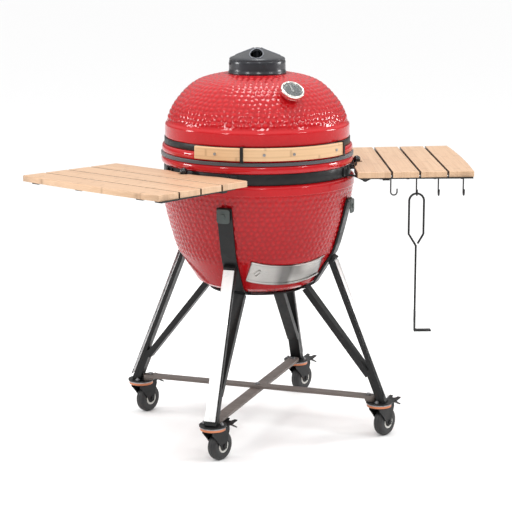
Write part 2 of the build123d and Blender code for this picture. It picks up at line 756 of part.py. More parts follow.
def build_wheel(corner):
    """Wheel: a rubber tyre on a plastic hub, two solids."""
    half = wheel_wide / 2
    a = radians(trail_deg)
    centre = Vector(corner[0] + trail * cos(a), corner[1] + trail * sin(a), wheel_r)
    section = Plane(origin=centre, x_dir=(0, 0, 1), z_dir=(cos(a), sin(a), 0))
    axle = Axis(centre, (sin(a), -cos(a), 0))
    with BuildPart() as wheel:
        with BuildSketch(section):
            Polygon((hub_r, -half + 1), (34, -half), (38, -half + 2.5), (wheel_r - 1, -half + 7),
                    (wheel_r, -half + 11), (wheel_r, half - 11), (wheel_r - 1, half - 7), (38, half - 2.5),
                    (34, half), (hub_r, half - 1), align=None)
        revolve(axis=axle)
        with BuildSketch(section):
            Polygon((axle_r + running, -half), (8, -half), (9, -half + 4), (14, -half + 4),
                    (15, -half), (19, -half), (hub_r - 0.05, -half + 1), (hub_r - 0.05, half - 1),
                    (19, half), (15, half), (14, half - 4), (9, half - 4), (8, half),
                    (axle_r + running, half), align=None)
        revolve(axis=axle)
    return wheel.part


def build_brake(corner):
    """Foot brake: a lever with a press tab and a release tab, turning on the fork's brake pin."""
    u, v = brake_pivot
    with BuildPart() as brake:
        with BuildSketch(caster_plane(corner, -15.5)):
            Polygon(*strip([(u, v + 2.5), (64, 98)], 4), align=None)
            with Locations(brake_pivot):
                Circle(5.2)
                Circle(2.5 + running, mode=Mode.SUBTRACT)
        extrude(amount=31)
        with BuildSketch(caster_plane(corner, -19)):
            Polygon(*strip([(62, 98), (86, 104.5)], 3), align=None)
            Polygon(*strip([(62, 97.5), (85, 84)], 3), align=None)
        extrude(amount=38)
        with BuildSketch(Plane(origin=(*corner, 78))):
            with Locations(Pos(0, 0) * Rot(0, 0, trail_deg) * Pos(90, 0)):
                Ellipse(15, 9)
        extrude(amount=32, mode=Mode.SUBTRACT)
    return brake.part


for name, corner in corners.items():
    keep(build_fork(corner), "fork_" + name)
    keep(build_wheel(corner), "wheel_" + name)
    keep(build_brake(corner), "brake_" + name)

# ---- side shelves -----------------------------------------------------------------------------
with BuildPart() as slats_right:
    for i, (inner, outer) in enumerate(slat_edges):
        with BuildSketch(shelf_plane(shelf_top_z - slat_thick)):
            if i < len(slat_edges) - 1:
                Polygon((inner, front_edge(inner)), (outer, front_edge(outer)), (outer, back_edge(outer)),
                        (inner, back_edge(inner)), align=None)
            else:
                with BuildLine():
                    Polyline((outer - 7, back_edge(outer)), (inner, back_edge(inner)),
                             (inner, front_edge(inner)), (outer - 7, front_edge(outer)))
                    ThreePointArc((outer - 7, front_edge(outer)), (outer, 60), (outer - 7, back_edge(outer)))
                make_face()
            if i == 0:
                Circle(shelf_cut_r, mode=Mode.SUBTRACT)
                with Locations(knob_at):
                    Circle(16, mode=Mode.SUBTRACT)
        extrude(amount=slat_thick)
    fillet(slats_right.edges().group_by(Axis.Z)[-1], 2.5)
keep(slats_right.part, "slats_right")

bar_t = [front_edge(452) + 12.6, *hinge_t, back_edge(452) - 30]
frame_z = shelf_top_z - slat_thick - frame_bar_thick
ear_gap = 0.4
plate_thick = 6.0
with BuildPart() as shelf_frame_right:
    with BuildSketch(shelf_plane(frame_z)):
        for t in bar_t:
            with Locations(((bar_n[0] + bar_n[1]) / 2, t)):
                Rectangle(bar_n[1] - bar_n[0], frame_bar_wide)
                with GridLocations(77, 1, 4, 1):
                    Circle(2.1, mode=Mode.SUBTRACT)
    extrude(amount=frame_bar_thick)
    with BuildSketch(shelf_plane(frame_z - 4)):
        with Locations((357, (bar_t[0] + bar_t[-1]) / 2)):
            Rectangle(20, bar_t[-1] - bar_t[0] + frame_bar_wide)
    extrude(amount=4)
    for t in hinge_t:
        for side in (-1, 1):
            with BuildSketch(shelf_upright(t + side * (plate_thick / 2 + ear_gap + 2))):
                with Locations(shelf_pivot):
                    Circle(9)
                Polygon((shelf_pivot[0] - 3, 770), (bar_n[0] + 1, frame_z + 2), (334, frame_z + 2),
                        (334, 769), (shelf_pivot[0] + 5, 757), align=None)
                with Locations(shelf_pivot):
                    Circle(pivot_pin_r + running, mode=Mode.SUBTRACT)
            extrude(amount=2, both=True)
keep(shelf_frame_right.part, "shelf_frame_right")

with BuildPart() as slat_screws_right:
    for t in bar_t:
        with BuildSketch(shelf_plane(frame_z - 2.5)):
            with Locations(((bar_n[0] + bar_n[1]) / 2, t)):
                with GridLocations(77, 1, 4, 1):
                    Circle(4)
        extrude(amount=2.5)
keep(slat_screws_right.part, "slat_screws_right")

hook_t = bar_t[0] - frame_bar_wide / 2 + 3


def hook_plane(n, turned):
    """Upright plane of a hook: across the shelf's front bar, or along it."""
    origin = shelf_plane(frame_z).from_local_coords(Vector(n, hook_t, 0))
    outward = Vector(cos(shelf_turn), -sin(shelf_turn), 0)
    front = Vector(-sin(shelf_turn), -cos(shelf_turn), 0)
    across = outward if turned else front
    return Plane(origin=origin, x_dir=across, z_dir=across.cross(Vector(0, 0, 1)))


with BuildPart() as tool_hooks:
    for i, n in enumerate(hook_n):
        place = hook_plane(n, i == 0)
        straight = hook_drop - hook_bend_r - hook_wire_r
        with BuildLine(place) as wire:
            Line((0, 0), (0, -straight))
            CenterArc((hook_bend_r, -straight), hook_bend_r, 180, 180)
            Line((2 * hook_bend_r, -straight), (2 * hook_bend_r, -straight + 9))
        with BuildSketch(Plane(origin=place.origin, z_dir=(0, 0, -1))):
            Circle(hook_wire_r)
        sweep(path=wire.line)
keep(tool_hooks.part, "tool_hooks")

with BuildPart() as shelf_brackets_right:
    for t in hinge_t:
        angle = degrees(atan2(t, sqrt(base_band_r ** 2 - t ** 2))) - degrees(shelf_turn)
        add(band_pad(angle, base_band_r, 773, 798, 5))
        with BuildSketch(shelf_upright(t)):
            Polygon((240, 772), (240, 798), (256, 798), (258, 776), (shelf_pivot[0], 773),
                    (shelf_pivot[0], 755), (272, 770), align=None)
            with Locations(shelf_pivot):
                Circle(9)
                Circle(pivot_pin_r + 0.02, mode=Mode.SUBTRACT)
        extrude(amount=plate_thick / 2, both=True)
    knob_angle = degrees(atan2(knob_at[1], knob_at[0])) - degrees(shelf_turn)
    add(band_pad(knob_angle, base_band_r, 773, 790, 3.5))
    with BuildSketch(shelf_upright(knob_at[1])):
        Polygon((266, 773), (266, 778), (302, 778), (302, 773), align=None)
    extrude(amount=8, both=True)
    with BuildSketch(shelf_plane(770)):
        with Locations(knob_at):
            Circle(4.1)
    extrude(amount=12, mode=Mode.SUBTRACT)
    add(band_cut(base_band_r, 760, 810), mode=Mode.SUBTRACT)
with BuildPart() as shelf_brackets:
    add(shelf_brackets_right.part)
    mirror(shelf_brackets_right.part, about=Plane.YZ)
keep(shelf_brackets.part, "shelf_brackets")

with BuildPart() as shelf_pins_right:
    for t in hinge_t:
        half = plate_thick / 2 + ear_gap + 4.6
        for side in (-1, 1):
            with BuildSketch(shelf_upright(t)):
                with Locations(shelf_pivot):
                    Circle(pivot_pin_r)
            extrude(amount=half + 2, both=True)
            with BuildSketch(shelf_upright(t + side * (half + 1))):
                with Locations(shelf_pivot):
                    Circle(6.5)
            extrude(amount=1, both=True)
    knob_spot = shelf_plane(0).from_local_coords(Vector(*knob_at, 0))
    with Locations((knob_spot.X, knob_spot.Y, 771)):
        Cylinder(4, 26, align=(Align.CENTER, Align.CENTER, Align.MIN))
    with Locations((knob_spot.X, knob_spot.Y, 801)):
        Sphere(11)
with BuildPart() as shelf_pivot_pins:
    add(shelf_pins_right.part)
    mirror(shelf_pins_right.part, about=Plane.YZ)
keep(shelf_pivot_pins.part, "shelf_pivot_pins")

for part, label in ((slats_right.part, "slats_left"), (shelf_frame_right.part, "shelf_frame_left"),
                    (slat_screws_right.part, "slat_screws_left")):
    with BuildPart() as mirrored:
        mirror(part, about=Plane.YZ)
    keep(mirrored.part, label)

# ---- ash tool ---------------------------------------------------------------------------------
tool_t = hook_t - hook_bend_r
hook_bottom_z = frame_z - hook_drop + hook_wire_r
tool_top_z = hook_bottom_z + hook_wire_r + tool_wire_r + 0.3
tool_n = hook_n[1]
loop_top_z = tool_top_z - tool_loop_r
loop_low_z = tool_top_z - tool_loop_length
blade_z = tool_bottom_z
with BuildPart() as ash_tool:
    tool_place = shelf_upright(tool_t)
    with BuildLine(tool_place) as tool_wire:
        Line((tool_n, blade_z + 30), (tool_n, loop_low_z))
        Line((tool_n, loop_low_z), (tool_n - tool_loop_r, loop_low_z + 34))
        Line((tool_n - tool_loop_r, loop_low_z + 34), (tool_n - tool_loop_r, loop_top_z))
        CenterArc((tool_n, loop_top_z), tool_loop_r, 180, -180)
        Line((tool_n + tool_loop_r, loop_top_z), (tool_n + tool_loop_r, loop_low_z + 34))
        Line((tool_n + tool_loop_r, loop_low_z + 34), (tool_n + 5, loop_low_z + 6))
    start = tool_place.from_local_coords(Vector(tool_n, blade_z + 30, 0))
    with BuildSketch(Plane(origin=start, z_dir=(0, 0, 1))):
        Circle(tool_wire_r)
    sweep(path=tool_wire.line, transition=Transition.ROUND)
    with BuildSketch(tool_place):
        Polygon(*strip([(tool_n, blade_z + 60), (tool_n, blade_z + 2), (tool_n + 47, blade_z + 2)], 4),
                align=None)
    extrude(amount=11, both=True)
keep(ash_tool.part, "ash_tool")

# ---- fasteners of the bands and the handle ----------------------------------------------------
with BuildPart() as lid_fasteners:
    for angle in screw_deg:
        with BuildSketch(facing_plane(front_deg(angle), handle_r[1], handle_mid_z)):
            Circle(4)
        extrude(amount=2)
    for angle in (85, 95):
        with BuildSketch(facing_plane(angle, lid_band_r + 4, 867.5)):
            RegularPolygon(6, 6)
        extrude(amount=5)
keep(lid_fasteners.part, "lid_fasteners")

with BuildPart() as base_band_bolts:
    for angle in (82, 90, 98):
        with BuildSketch(facing_plane(angle, base_band_r + 4, 785.5)):
            RegularPolygon(6, 6)
        extrude(amount=5)
keep(base_band_bolts.part, "base_band_bolts")

os.makedirs("parts", exist_ok=True)
for piece in pieces:
    export_step(piece, f"parts/{piece.label}.step")
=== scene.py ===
"""Looks of a ceramic kamado grill on its cart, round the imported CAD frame. Metres, +Z up, front -Y."""

import json
from math import atan2, cos, hypot, pi, radians, sin

import bpy
import numpy as np
from mathutils import Matrix, Vector


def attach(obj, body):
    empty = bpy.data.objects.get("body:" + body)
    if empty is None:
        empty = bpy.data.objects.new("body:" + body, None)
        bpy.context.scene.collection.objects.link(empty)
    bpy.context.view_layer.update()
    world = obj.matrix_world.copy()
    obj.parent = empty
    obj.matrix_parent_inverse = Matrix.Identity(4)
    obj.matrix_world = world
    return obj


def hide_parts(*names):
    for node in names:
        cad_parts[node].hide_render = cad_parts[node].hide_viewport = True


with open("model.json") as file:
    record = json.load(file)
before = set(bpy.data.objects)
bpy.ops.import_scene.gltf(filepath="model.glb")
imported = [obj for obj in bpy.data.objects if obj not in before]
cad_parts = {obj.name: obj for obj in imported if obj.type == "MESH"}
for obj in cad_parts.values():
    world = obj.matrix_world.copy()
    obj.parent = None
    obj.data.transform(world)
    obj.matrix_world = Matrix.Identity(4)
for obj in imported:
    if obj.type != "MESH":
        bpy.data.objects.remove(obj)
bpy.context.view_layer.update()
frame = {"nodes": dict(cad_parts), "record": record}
NODES = frame["nodes"]
RECORD = frame["record"]

MM = 0.001
SHELF_TURN = radians(23.58)
GAUGE_AT = (0, -211.4, 1009.4)
GAUGE_WAY = (0, -cos(radians(54)), sin(radians(54)))
DIAL_FACE = 22.02
LEG_FACE_LOW = 6.1
LEG_FACE_HALF = 16.2
LEG_FACE_THICK = 0.6


# ---- node helpers -----------------------------------------------------------------------------
class Maker:
    """A material under construction: its tree, its shader, and short calls that add and join nodes."""

    def __init__(self, name, **sockets):
        self.mat = bpy.data.materials.new(name)
        self.mat.use_nodes = True
        self.tree = self.mat.node_tree
        self.shader = self.tree.nodes["Principled BSDF"]
        for socket, value in sockets.items():
            self.shader.inputs[socket.replace("_", " ")].default_value = value
        self.place = self.add("ShaderNodeTexCoord").outputs["Object"]

    def add(self, kind, inputs=None, **settings):
        node = self.tree.nodes.new(kind)
        for key, value in settings.items():
            setattr(node, key, value)
        for key, value in (inputs or {}).items():
            self.put(node.inputs[key], value)
        return node

    def put(self, socket, value):
        if isinstance(value, bpy.types.NodeSocket):
            self.tree.links.new(value, socket)
        else:
            socket.default_value = value

    def math(self, operation, a, b=0.0, c=0.0):
        return self.add("ShaderNodeMath", {0: a, 1: b, 2: c}, operation=operation).outputs[0]

    def mapped(self, scale=(1, 1, 1), turn=0.0, source=None):
        return self.add("ShaderNodeMapping", {"Vector": source or self.place, "Scale": scale,
                                              "Rotation": (0, 0, turn)}).outputs[0]

    def noise(self, scale, detail=3.0, rough=0.55, source=None, distortion=0.0):
        inputs = {"Vector": source or self.place, "Scale": scale, "Detail": detail, "Roughness": rough,
                  "Distortion": distortion}
        return self.add("ShaderNodeTexNoise", inputs).outputs["Fac"]

    def spread(self, value, low, high, to_low=0.0, to_high=1.0):
        return self.add("ShaderNodeMapRange", {"Value": value, "From Min": low, "From Max": high,
                                               "To Min": to_low, "To Max": to_high}).outputs["Result"]

    def ramp(self, value, *stops):
        node = self.add("ShaderNodeValToRGB", {"Fac": value})
        points = node.color_ramp.elements
        while len(points) < len(stops):
            points.new(0.5)
        for point, (at, colour) in zip(points, stops):
            point.position = at
            point.color = (*colour, 1)
        return node.outputs["Color"]

    def mix(self, share, a, b, blend="MIX"):
        node = self.add("ShaderNodeMix", data_type="RGBA", blend_type=blend)
        self.put(node.inputs[0], share)
        for socket, value in ((node.inputs[6], a), (node.inputs[7], b)):
            self.put(socket, (*value, 1) if isinstance(value, tuple) else value)
        return node.outputs[2]

    def split(self, source=None):
        return self.add("ShaderNodeSeparateXYZ", {0: source or self.place}).outputs

    def join(self, x, y, z):
        return self.add("ShaderNodeCombineXYZ", {0: x, 1: y, 2: z}).outputs[0]

    def bump(self, height, depth, strength=1.0):
        before = self.shader.inputs["Normal"].links
        inputs = {"Height": height, "Distance": depth, "Strength": strength}
        node = self.add("ShaderNodeBump", inputs)
        if before:
            self.tree.links.new(before[0].from_socket, node.inputs["Normal"])
        self.tree.links.new(node.outputs[0], self.shader.inputs["Normal"])

    def set(self, **sockets):
        for socket, value in sockets.items():
            self.put(self.shader.inputs[socket.replace("_", " ")], value)
        return self


# ---- materials --------------------------------------------------------------------------------
def glaze(name, dark, bright):
    """Glossy fired glaze: darker in the hollows, lighter on the crests, with fine ripple and pits.

    Where the crest attribute is negative, inside the shells, the ceramic is bare. Colour darkens towards the
    foot as painted shade, fitted to the shaded lower bowl, and the gloss falls off there too.
    """
    m = Maker(name, Coat_Roughness=0.05, Coat_IOR=1.5, Specular_IOR_Level=0.08)
    crest = m.add("ShaderNodeAttribute", attribute_name="crest").outputs["Fac"]
    cloud = m.noise(7, 4)
    tone = m.mix(m.spread(crest, 0, 1, 0.15, 0.85), dark, bright)
    tone = m.mix(m.spread(cloud, 0.35, 0.7, 0.0, 0.35), tone, dark)
    speck = m.spread(m.noise(900, 2), 0.66, 0.74)
    tone = m.mix(m.math("MULTIPLY", speck, 0.25), tone, tuple(c * 0.4 for c in dark))
    height = m.split()[2]
    shade_low, shade_high = 0.5, 0.86
    # Painted shade: the glaze colour is blended towards black below 0.86 m height, darkening the lower bowl
    # as if it were shaded.
    tone = m.mix(m.spread(height, shade_low, shade_high, 0.7, 1.0), (0, 0, 0), tone)
    bare = m.spread(crest, -0.6, -0.4, 1.0, 0.0)
    clay = m.mix(m.spread(cloud, 0.35, 0.7), (0.50, 0.42, 0.32), (0.38, 0.31, 0.23))
    clay = m.mix(speck, clay, (0.16, 0.12, 0.09))
    sheen = m.spread(m.noise(60, 3), 0.3, 0.7, 0.16, 0.3)
    coat = m.spread(height, shade_low, shade_high, 0.3, 0.62)
    m.set(Base_Color=m.mix(bare, tone, clay),
          Roughness=m.math("MAXIMUM", sheen, m.math("MULTIPLY", bare, 0.8)),
          Coat_Weight=m.math("MULTIPLY", coat, m.spread(bare, 0, 1, 1, 0)))
    m.bump(m.noise(220, 3), 0.00035, 0.5)
    m.bump(speck, 0.0002, 0.3)
    return m.mat


def powder_coat(name, colour, rough=0.42, wear=(0.12, 0.11, 0.1)):
    """Powder-coated steel: an orange-peel skin with dust and rubbed spots."""
    m = Maker(name, Metallic=0.0, Specular_IOR_Level=0.28)
    rub = m.spread(m.noise(28, 6, 0.7), 0.6, 0.78)
    dust = m.spread(m.noise(9, 3), 0.4, 0.75, 0, 0.2)
    dusty = m.mix(dust, colour, tuple(c * 1.8 + 0.004 for c in colour))
    tone = m.mix(m.math("MULTIPLY", rub, 0.16), dusty, wear)
    m.set(Base_Color=tone, Roughness=m.spread(m.noise(40, 4), 0.3, 0.7, rough - 0.09, rough + 0.12))
    m.bump(m.noise(1100, 2), 0.00012, 0.55)
    return m.mat


def brushed(name, colour, along=(4, 4, 900), rough=0.28, turn=0.0):
    """Brushed stainless steel: fine hair lines across one direction, with smudges."""
    m = Maker(name, Metallic=1.0, Anisotropic=0.5)
    lines = m.noise(1, 4, 0.6, source=m.mapped(along, turn))
    smudge = m.spread(m.noise(14, 4), 0.4, 0.75)
    tone = m.mix(m.spread(lines, 0.3, 0.7), tuple(c * 0.82 for c in colour), colour)
    m.set(Base_Color=m.mix(m.math("MULTIPLY", smudge, 0.2), tone, tuple(c * 0.7 for c in colour)),
          Roughness=m.math("ADD", m.spread(lines, 0.25, 0.75, rough - 0.07, rough + 0.07),
                           m.math("MULTIPLY", smudge, 0.1)))
    m.bump(lines, 0.00008, 0.5)
    return m.mat


def vent_steel(name):
    """Brushed curved sheet: grain round the bowl, and broad bright and dark bands painted into its colour as
    reflections.
    """
    m = Maker(name, Metallic=1.0)
    x, y, z = m.split()
    turn = m.math("ARCTAN2", x, m.math("MULTIPLY", y, -1.0))
    lines = m.noise(1, 4, 0.6, source=m.join(m.math("MULTIPLY", turn, 2.0), m.math("MULTIPLY", z, 900), 0.0))
    smudge = m.spread(m.noise(14, 4), 0.4, 0.75)
    # Painted reflections: broad bright and dark bands in the base colour, set by the angle round the bowl.
    tone = m.ramp(m.spread(turn, -0.56, 0.56), (0.0, (0.62, 0.60, 0.57)), (0.16, (0.47, 0.46, 0.44)),
                  (0.3, (0.42, 0.41, 0.39)), (0.4, (0.16, 0.155, 0.15)), (0.5, (0.17, 0.165, 0.155)),
                  (0.56, (0.46, 0.45, 0.43)), (0.75, (0.56, 0.55, 0.52)), (1.0, (0.40, 0.39, 0.38)))
    tone = m.mix(m.spread(lines, 0.3, 0.7, 0, 0.25), tone, (0.2, 0.2, 0.2))
    m.set(Base_Color=m.mix(m.math("MULTIPLY", smudge, 0.2), tone, (0.3, 0.3, 0.3)),
          Roughness=m.math("ADD", m.spread(lines, 0.25, 0.75, 0.22, 0.36), m.math("MULTIPLY", smudge, 0.1)))
    m.bump(lines, 0.00008, 0.5)
    return m.mat


def cast_iron(name, colour=(0.008, 0.009, 0.012)):
    """Painted cast iron: sand-cast grain under a semi-gloss black."""
    m = Maker(name, Metallic=0.3, Specular_IOR_Level=0.4, Coat_Weight=0.4, Coat_Roughness=0.16)
    grain = m.noise(420, 4, 0.65)
    tone = m.mix(m.spread(m.noise(16, 4), 0.35, 0.75), colour, tuple(c * 2.2 for c in colour))
    m.set(Base_Color=m.mix(m.spread(grain, 0.6, 0.8, 0, 0.12), tone, (0.08, 0.078, 0.08)),
          Roughness=m.spread(grain, 0.3, 0.7, 0.3, 0.5))
    m.bump(grain, 0.0005, 0.5)
    m.bump(m.noise(60, 3), 0.0008, 0.25)
    return m.mat


def polished(name, colour=(0.83, 0.81, 0.76), rough=0.07):
    """Bright plated metal with faint swirls and fingerprints."""
    m = Maker(name, Metallic=1.0)
    swirl = m.noise(300, 3, 0.6, distortion=1.5)
    smears = m.spread(m.noise(45, 4), 0.5, 0.75)
    m.set(Base_Color=m.mix(m.math("MULTIPLY", smears, 0.15), colour, tuple(c * 0.75 for c in colour)),
          Roughness=m.math("ADD", m.spread(swirl, 0.3, 0.7, rough, rough + 0.05),
                           m.math("MULTIPLY", smears, 0.12)))
    m.bump(swirl, 0.00004, 0.3)
    return m.mat


def zinc(name, colour=(0.33, 0.33, 0.34)):
    """Dull plated fasteners, with crystals and grime."""
    m = Maker(name, Metallic=0.9)
    spangle = m.add("ShaderNodeTexVoronoi", {"Vector": m.place, "Scale": 520}).outputs["Distance"]
    grime = m.spread(m.noise(120, 4), 0.45, 0.75)
    tone = m.mix(m.spread(spangle, 0.1, 0.7), tuple(c * 0.75 for c in colour), colour)
    m.set(Base_Color=m.mix(m.math("MULTIPLY", grime, 0.5), tone, (0.06, 0.055, 0.05)),
          Roughness=m.spread(grime, 0, 1, 0.3, 0.6))
    m.bump(m.noise(700, 3), 0.0001, 0.5)
    return m.mat


def painted_reflection_coat(name):
    """Painted reflection: a white coat standing for bright surroundings mirrored in steel, with faint ripple,
    dust and a few dark chips.
    """
    m = Maker(name, Coat_Weight=0.5, Coat_Roughness=0.1)
    dust = m.spread(m.noise(30, 4), 0.4, 0.75, 0, 0.15)
    chip = m.spread(m.noise(240, 3), 0.72, 0.76)
    tone = m.mix(dust, (0.95, 0.95, 0.95), (0.78, 0.77, 0.75))
    m.set(Base_Color=m.mix(m.math("MULTIPLY", chip, 0.5), tone, (0.2, 0.2, 0.2)),
          Roughness=m.spread(m.noise(50, 3), 0.3, 0.7, 0.25, 0.4))
    m.bump(m.noise(500, 2), 0.0001, 0.4)
    return m.mat


def bamboo(name, along, across, painted_gap_shade=0.0, pale=(0.62, 0.42, 0.27), brown=(0.46, 0.27, 0.15)):
    """Laminated bamboo strips. along and across build the two surface directions from the maker. The fourth
    argument sets how far the side faces between inner slats are darkened, as painted shade in the gaps.
    """
    m = Maker(name, Coat_Weight=0.25, Coat_Roughness=0.3, Specular_IOR_Level=0.4)
    x, y, z = m.split()
    run = along(m, x, y, z)
    side = across(m, x, y, z)
    strip = m.math("FLOOR", m.math("DIVIDE", side, 0.0185))
    chance = m.add("ShaderNodeTexWhiteNoise", {"W": strip}, noise_dimensions="1D").outputs["Value"]
    fibre = m.noise(1, 5, 0.6, source=m.join(m.math("MULTIPLY", run, 9), m.math("MULTIPLY", side, 900),
                                             m.math("MULTIPLY", z, 500)))
    vein = m.noise(1, 3, 0.5, source=m.join(m.math("MULTIPLY", run, 3), m.math("MULTIPLY", side, 160),
                                            chance))
    knot_at = m.math("ADD", m.math("MULTIPLY", run, 4.2), m.math("MULTIPLY", chance, 7.0))
    knot = m.math("PINGPONG", knot_at, 0.5)
    knot = m.spread(knot, 0.0, 0.022, 1.0, 0.0)
    joint = m.math("PINGPONG", m.math("DIVIDE", side, 0.0185), 0.5)
    joint = m.spread(joint, 0.0, 0.028, 1.0, 0.0)
    tone = m.mix(m.spread(fibre, 0.35, 0.68), pale, brown)
    tone = m.mix(0.5, tone, m.mix(m.spread(chance, 0, 1, 0, 0.55), pale, brown))
    tone = m.mix(m.spread(vein, 0.5, 0.8, 0, 0.5), tone, tuple(c * 0.75 for c in brown))
    tone = m.mix(m.math("MULTIPLY", knot, 0.55), tone, tuple(c * 0.55 for c in brown))
    tone = m.mix(m.math("MULTIPLY", joint, 0.5), tone, tuple(c * 0.5 for c in brown))
    # Painted shade: side faces that look across the shelf, inside the outer edge, are darkened to near black
    # as shade in the gaps between slats.
    facing = m.split(m.place.node.outputs["Normal"])
    edge = m.math("ABSOLUTE", across(m, *facing[:3]))
    edge = m.math("MULTIPLY", m.spread(edge, 0.6, 0.8), m.spread(side, 0.6, 0.61, painted_gap_shade, 0.0))
    tone = m.mix(edge, tone, (0.05, 0.025, 0.012))
    m.set(Base_Color=tone, Roughness=m.spread(fibre, 0.3, 0.7, 0.34, 0.52))
    m.bump(fibre, 0.00022, 0.5)
    m.bump(m.math("MULTIPLY", m.math("ADD", knot, joint), -1.0), 0.0003, 0.4)
    return m.mat


def felt(name, colour=(0.035, 0.035, 0.04)):
    """Pressed grey felt of the gasket."""
    m = Maker(name, Roughness=0.95, Sheen_Weight=0.35, Sheen_Roughness=0.5)
    fuzz = m.noise(1500, 4, 0.75)
    m.set(Base_Color=m.mix(m.spread(fuzz, 0.35, 0.7), colour, tuple(c * 2.6 for c in colour)))
    m.bump(fuzz, 0.0006, 0.8)
    return m.mat


def rubber(name, colour=(0.012, 0.012, 0.013), rough=0.55):
    """Moulded rubber with dust in the grain."""
    m = Maker(name, Specular_IOR_Level=0.45)
    dust = m.spread(m.noise(70, 5, 0.65), 0.45, 0.75)
    m.set(Base_Color=m.mix(m.math("MULTIPLY", dust, 0.4), colour, (0.06, 0.056, 0.052)),
          Roughness=m.spread(dust, 0, 1, rough - 0.1, rough + 0.2))
    m.bump(m.noise(900, 3), 0.0002, 0.5)
    return m.mat


def plastic(name, colour, rough=0.4):
    """Moulded plastic with a fine spark-eroded grain."""
    m = Maker(name, Specular_IOR_Level=0.5)
    cloud = m.noise(25, 4)
    m.set(Base_Color=m.mix(m.spread(cloud, 0.35, 0.7), colour, tuple(c * 0.8 for c in colour)),
          Roughness=m.spread(cloud, 0.3, 0.7, rough - 0.06, rough + 0.1))
    m.bump(m.noise(1300, 2), 0.00008, 0.5)
    return m.mat


def brick(name):
    """Unglazed fire clay, sooted in patches."""
    m = Maker(name, Specular_IOR_Level=0.25)
    soot = m.spread(m.noise(8, 5, 0.6), 0.4, 0.7)
    grit = m.noise(260, 5, 0.7)
    tone = m.mix(m.spread(grit, 0.3, 0.75), (0.55, 0.45, 0.34), (0.33, 0.25, 0.18))
    m.set(Base_Color=m.mix(m.math("MULTIPLY", soot, 0.7), tone, (0.05, 0.045, 0.04)), Roughness=0.9)
    m.bump(grit, 0.0008, 0.7)
    return m.mat


def clear_glass(name):
    """Flat gauge glass with a few wipe marks."""
    m = Maker(name, Base_Color=(0.97, 0.98, 0.98, 1), Transmission_Weight=1.0, IOR=1.45)
    wipe = m.spread(m.noise(90, 4), 0.5, 0.8)
    m.set(Roughness=m.math("MULTIPLY", wipe, 0.08))
    m.bump(m.noise(40, 2), 0.00002, 0.3)
    return m.mat


def shelf_direction(sign, along):
    """Coordinate along or across a shelf's slats, for the right (+1) or left (-1) shelf."""
    if along:
        vector = (sign * sin(SHELF_TURN), cos(SHELF_TURN))
    else:
        vector = (sign * cos(SHELF_TURN), -sin(SHELF_TURN))
    return lambda m, x, y, z: m.math("ADD", m.math("MULTIPLY", x, vector[0]),
                                     m.math("MULTIPLY", y, vector[1]))


def arc_direction(radius):
    """Length round the grill's axis."""
    return lambda m, x, y, z: m.math("MULTIPLY", m.math("ARCTAN2", x, m.math("MULTIPLY", y, -1.0)), radius)


RED_DARK = (0.30, 0.003, 0.006)
RED_BRIGHT = (0.55, 0.008, 0.012)
MATERIAL = {
    "red_glaze": glaze("red_glaze", RED_DARK, RED_BRIGHT),
    "firebrick": brick("firebrick"),
    "cast_iron": cast_iron("cast_iron"),
    "stainless": brushed("stainless", (0.66, 0.64, 0.6)),
    "vent_steel": vent_steel("vent_steel"),
    "chrome": polished("chrome"),
    "felt": felt("felt"),
    "black_powder_coat": powder_coat("black_powder_coat", (0.006, 0.0062, 0.0065)),
    "grey_powder_coat": powder_coat("grey_powder_coat", (0.12, 0.10, 0.09), 0.48, (0.3, 0.28, 0.26)),
    "zinc_bolts": zinc("zinc_bolts"),
    "copper_plate": polished("copper_plate", (0.50, 0.19, 0.10), 0.3),
    "pad_grey": rubber("pad_grey", (0.055, 0.07, 0.066), 0.6),
    "knob_black": plastic("knob_black", (0.012, 0.012, 0.013), 0.25),
    "dial_face": plastic("dial_face", (0.02, 0.035, 0.035), 0.35),
    "clear_glass": clear_glass("clear_glass"),
    "needle_paint": plastic("needle_paint", (0.75, 0.76, 0.72), 0.35),
    "tyre_rubber": rubber("tyre_rubber"),
    "hub_plastic": plastic("hub_plastic", (0.62, 0.61, 0.57), 0.35),
    "hub_dark": plastic("hub_dark", (0.05, 0.048, 0.04), 0.4),
    "cast_rim": cast_iron("cast_rim", (0.10, 0.105, 0.12)),
    # Painted reflection: the white strips on the outer faces of the legs.
    "bright_steel": painted_reflection_coat("bright_steel"),
    "bamboo_handle": bamboo("bamboo_handle", arc_direction(0.28), lambda m, x, y, z: z, 0.0,
                            (0.64, 0.42, 0.24), (0.52, 0.31, 0.15)),
    # 0.9 is the strength of the painted shade in the gaps between slats.
    "bamboo_right": bamboo("bamboo_right", shelf_direction(1, True), shelf_direction(1, False), 0.9),
    "bamboo_left": bamboo("bamboo_left", shelf_direction(-1, True), shelf_direction(-1, False), 0.9),
}


def finish_of(node):
    """Material of a CAD node: its record slot's, with the bamboo split by direction of grain."""
    slot = next(s["material_slot"] for s in RECORD["subparts"] if s["node"] == node)
    if slot == "bamboo":
        return MATERIAL["bamboo_" + node.split("_")[-1]]
    if node in ("draft_door", "draft_frame"):
        return MATERIAL["vent_steel"]
    return MATERIAL[slot]


for node_name, node_object in NODES.items():
    node_object.data.materials.clear()
    node_object.data.materials.append(finish_of(node_name))


def round_edges(names, width):
    """Small machined or sawn rounding on the sharp edges of CAD nodes."""
    for name in names:
        weld = NODES[name].modifiers.new("weld", "WELD")
        weld.merge_threshold = 0.00002
        bevel = NODES[name].modifiers.new("edge", "BEVEL")
        bevel.width = width
        bevel.segments = 2
        bevel.limit_method = "ANGLE"
        bevel.angle_limit = radians(38)
        bevel.harden_normals = True


